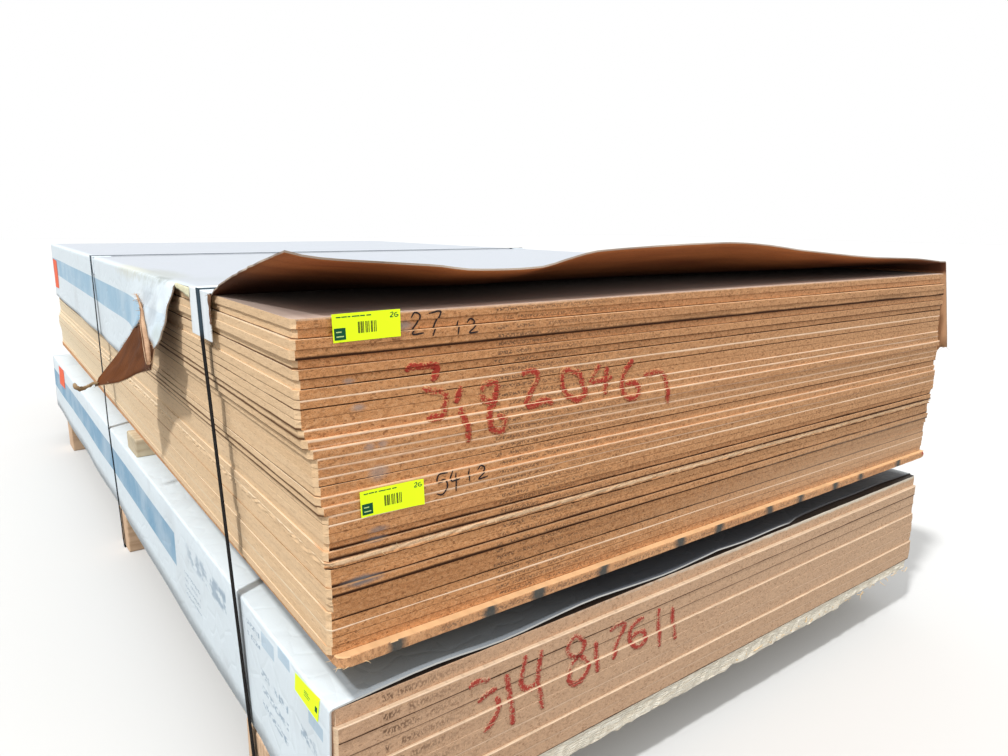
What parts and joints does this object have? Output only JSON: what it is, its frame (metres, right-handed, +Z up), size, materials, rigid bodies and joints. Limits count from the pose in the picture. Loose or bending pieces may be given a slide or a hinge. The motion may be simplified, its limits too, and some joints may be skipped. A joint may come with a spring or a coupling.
{
  "type": "strapped stack of particleboard sheets",
  "caption": "Two strapped lifts of veneered particleboard sheets with torn cardboard caps, on timber runners.",
  "frame": {"origin": "on the ground, under the middle of the whole stack", "axes": "+X to the right along the 4 ft front, +Y away from the front along the 8 ft length, +Z up"},
  "size_m": [1.3632, 2.479, 0.7398],
  "materials": {
    "thin_sheet": "sawn edge, oiled veneer faces",
    "thick_sheet": "sawn edge, pale veneer faces",
    "softwood_board": "sawn",
    "pale_board": "sawn, splintered",
    "sawn_timber": "rough sawn",
    "cap_board": "white outside, brown inside",
    "edge_angle": "moulded",
    "strap": "embossed band"
  },
  "bodies": {
    "root": {"front_edge_angles": "edge_angle", "front_strap": "strap", "lower_base_board": "pale_board", "lower_cap": "cap_board", "lower_panel_01": "thick_sheet", "lower_panel_02": "thick_sheet", "lower_panel_03": "thick_sheet", "lower_panel_04": "thick_sheet", "lower_panel_05": "thick_sheet", "lower_panel_06": "thick_sheet", "lower_panel_07": "thick_sheet", "lower_panel_08": "thick_sheet", "lower_panel_09": "thick_sheet", "rear_edge_angles": "edge_angle", "rear_strap": "strap", "runner_front": "sawn_timber", "runner_middle": "sawn_timber", "runner_rear": "sawn_timber", "spacer_front": "sawn_timber", "spacer_middle": "sawn_timber", "spacer_rear": "sawn_timber", "upper_base_board": "softwood_board", "upper_cap": "cap_board", "upper_panel_01": "thin_sheet", "upper_panel_02": "thin_sheet", "upper_panel_03": "thin_sheet", "upper_panel_04": "thin_sheet", "upper_panel_05": "thin_sheet", "upper_panel_06": "thin_sheet", "upper_panel_07": "thin_sheet", "upper_panel_08": "thin_sheet", "upper_panel_09": "thin_sheet", "upper_panel_10": "thin_sheet", "upper_panel_11": "thin_sheet", "upper_panel_12": "thin_sheet", "upper_panel_13": "thin_sheet", "upper_panel_14": "thin_sheet", "upper_panel_15": "thin_sheet", "upper_panel_16": "thin_sheet", "upper_panel_17": "thin_sheet", "upper_panel_18": "thin_sheet", "upper_panel_19": "thin_sheet", "upper_panel_20": "thin_sheet", "upper_panel_21": "thin_sheet", "upper_panel_22": "thin_sheet", "upper_panel_23": "thin_sheet", "upper_panel_24": "thin_sheet", "upper_panel_25": "thin_sheet", "upper_panel_26": "thin_sheet", "upper_panel_27": "thin_sheet", "upper_panel_28": "thin_sheet", "upper_panel_29": "thin_sheet", "upper_panel_30": "thin_sheet", "upper_panel_31": "thin_sheet", "upper_panel_32": "thin_sheet", "upper_panel_33": "thin_sheet", "upper_panel_34": "thin_sheet", "upper_panel_35": "thin_sheet", "upper_panel_36": "thin_sheet"}
  },
  "joints": []
}
